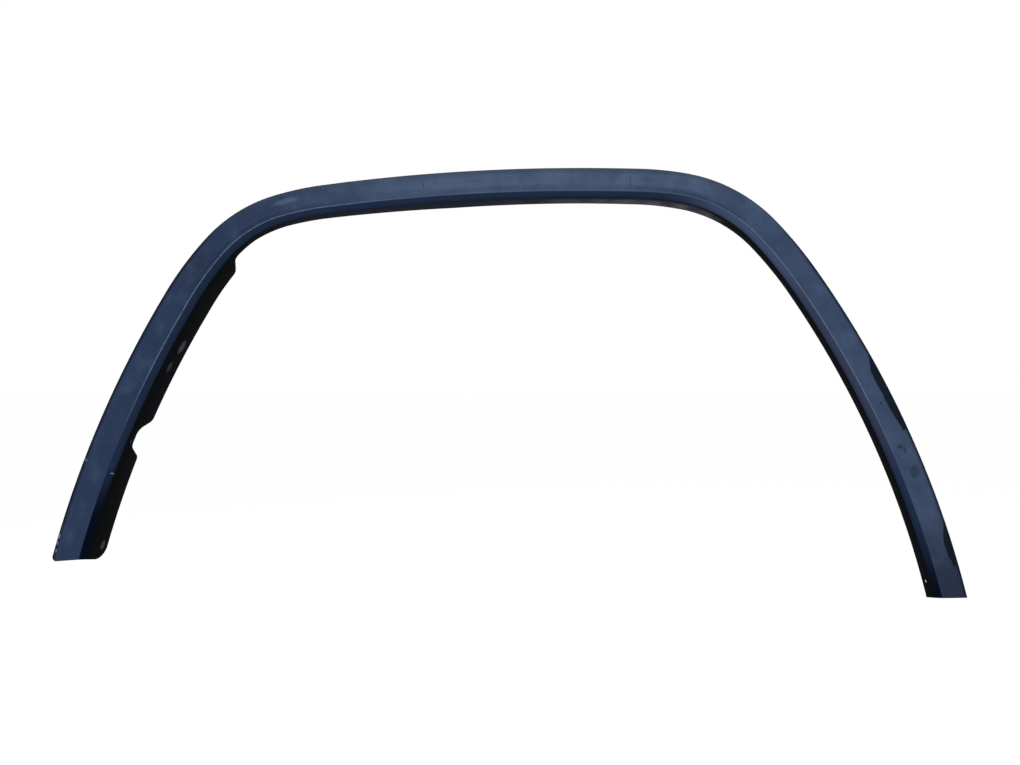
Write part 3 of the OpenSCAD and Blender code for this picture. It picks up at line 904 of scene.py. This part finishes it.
def moulded_plastic():
    """Slate-blue satin plastic on the front, black on the flange and the back, worn and dusty as used, with
    painted light and shade in its colour.
    """
    material = bpy.data.materials.new("slate_arch_plastic")
    material.use_nodes = True
    tree = material.node_tree
    shader = tree.nodes["Principled BSDF"]
    place = add(tree, "ShaderNodeAttribute", attribute_name="moulding").outputs["Vector"]
    parts = add(tree, "ShaderNodeSeparateXYZ", {0: place}).outputs
    along, across, behind = parts[0], parts[1], parts[2]
    body = add(tree, "ShaderNodeTexCoord").outputs["Object"]
    cloud = noise(tree, body, scale=38.0, detail=5.0, roughness=0.6)
    fine = noise(tree, body, scale=260.0, detail=4.0, roughness=0.7)

    colour = face_colour(tree, place, along, across, cloud)
    colour = with_edges(tree, colour, along, across, fine)

    # Black flange, outer wall and back; the back is the palest of them
    beyond_root = ramp(tree, across, ROOT_AT - 1.2 * MM, ROOT_AT + 0.6 * MM)
    black = calc(tree, "MAXIMUM", beyond_root, ramp(tree, behind, 0.3 * MM, 0.9 * MM))
    black = calc(tree, "MAXIMUM", black, ramp(tree, across, -1.5 * MM, -5 * MM))
    on_back = ramp(tree, behind, 0.8 * MM, 2 * MM)
    colour = mix(tree, black, colour, tint(tree, on_back, along_arch(tree, along, FLANGE_TONES), BACK_BLACK))

    outside = ramp(tree, behind, 0.3 * MM, 0.9 * MM, 1, 0)
    colour = with_dust_and_light_below(tree, colour, along, across, outside, cloud, fine)
    colour = with_marks(tree, colour, place, along, across, outside, fine)

    tree.links.new(colour, shader.inputs["Base Color"])
    rough = calc(tree, "MAXIMUM", ramp(tree, cloud, 0.3, 0.7, 0.52, 0.64), times(tree, black, 0.7))
    tree.links.new(rough, shader.inputs["Roughness"])
    grain = use(tree, GRAIN, {"Place": body, "Size": 1600.0, "Height": 0.25})["Normal"]
    tree.links.new(grain, shader.inputs["Normal"])
    shader.inputs["Specular IOR Level"].default_value = GLOSS
    return material


# ---- The moulding

STREAKS, WORN_SPOT, GRAIN = streak_effect(), spot_effect(), grain_effect()

trim = as_object(swept_moulding(), "arch_trim")
combine(trim, fixings(), "UNION")
combine(trim, screw_hole(RIGHT_END - END_SCREW_RISE, END_SCREW_DEEP), "DIFFERENCE")
combine(trim, end_corner(), "DIFFERENCE")
trim.data.shade_smooth()
trim.data.set_sharp_from_angle(angle=SMOOTH_BELOW)
mark_finish(trim)
trim.data.materials.clear()
trim.data.materials.append(moulded_plastic())
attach(trim, "root")
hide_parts("arch_moulding")


# ---- Studio: pale floor well below the trim, white surroundings, soft lights

FLOOR_AT = -0.76
FLOOR_REACH = 40
FLOOR_WHITE, FLOOR_ROUGHNESS = 0.92, 0.9
FLOOR_GLOW, FLOOR_GLOW_SHARE = 1.04, 0.92
SURROUNDING_GREY = (0.45, 0.46, 0.48, 1)
WHITE = (1, 1, 1, 1)
# Soft lights, as [name, place, aim, size in metres, power in watts]
LAMPS = (
    ("overhead", (-0.05, -0.9, 1.3), (-0.05, 0, -0.1), 1.2, 9),
    ("left_fill", (-1.6, -0.9, 0.1), (0.2, 0, -0.25), 1.0, 4),
    ("right_fill", (1.7, -0.9, 0.1), (-0.2, 0, -0.25), 1.0, 2.5),
    ("back_fill", (-0.9, 1.6, 0.9), (0, 0, -0.2), 0.8, 34),
)
CAMERA_AT = (-0.07558, -0.838, -0.2183)
CAMERA_LENS, CAMERA_SENSOR = 27.05, 36


def seen_directly(tree):
    """1 for the camera's rays and for those that a surface mirrors or lets through."""
    ray = add(tree, "ShaderNodeLightPath").outputs
    passed_on = calc(tree, "MAXIMUM", ray["Is Glossy Ray"], ray["Is Transmission Ray"])
    return calc(tree, "MAXIMUM", ray["Is Camera Ray"], passed_on)


def studio_floor():
    """A matt white floor that glows a little where the camera sees it, so that it has no horizon."""
    bm = bmesh.new()
    bmesh.ops.create_grid(bm, x_segments=1, y_segments=1, size=FLOOR_REACH)
    bmesh.ops.translate(bm, vec=(0, 0, FLOOR_AT), verts=bm.verts)
    floor = as_object(bm, "floor")
    material = bpy.data.materials.new("white_floor")
    material.use_nodes = True
    tree = material.node_tree
    matt = tree.nodes["Principled BSDF"]
    matt.inputs["Base Color"].default_value = (FLOOR_WHITE, FLOOR_WHITE, FLOOR_WHITE, 1)
    matt.inputs["Roughness"].default_value = FLOOR_ROUGHNESS
    glow = add(tree, "ShaderNodeEmission", {"Color": WHITE, "Strength": FLOOR_GLOW})
    share = times(tree, seen_directly(tree), FLOOR_GLOW_SHARE)
    blend = add(tree, "ShaderNodeMixShader", {0: share, 1: matt.outputs[0], 2: glow.outputs[0]})
    tree.links.new(blend.outputs[0], tree.nodes["Material Output"].inputs["Surface"])
    floor.data.materials.append(material)


def surroundings():
    """White where they are seen, and grey for the light that they give."""
    world = bpy.data.worlds.new("studio")
    bpy.context.scene.world = world
    world.use_nodes = True
    tree = world.node_tree
    background = tree.nodes["Background"]
    tree.links.new(mix(tree, seen_directly(tree), SURROUNDING_GREY, WHITE), background.inputs["Color"])


def lamp(name, place, aim, size, power):
    light = bpy.data.lights.new(name, "AREA")
    light.shape, light.size, light.energy = "DISK", size, power
    lamp_object = bpy.data.objects.new(name, light)
    lamp_object.location = place
    lamp_object.rotation_euler = (Vector(aim) - Vector(place)).to_track_quat("-Z", "Y").to_euler()
    bpy.context.scene.collection.objects.link(lamp_object)


def camera():
    """The camera that stands where the photo was taken, level with the middle of the trim."""
    lens = bpy.data.cameras.new("photo_camera")
    lens.lens, lens.sensor_width = CAMERA_LENS, CAMERA_SENSOR
    eye = bpy.data.objects.new("photo_camera", lens)
    eye.location = CAMERA_AT
    eye.rotation_euler = (math.pi / 2, 0, 0)
    bpy.context.scene.collection.objects.link(eye)
    bpy.context.scene.camera = eye


studio_floor()
surroundings()
for settings in LAMPS:
    lamp(*settings)
camera()
bpy.context.scene.view_settings.view_transform = "Standard"
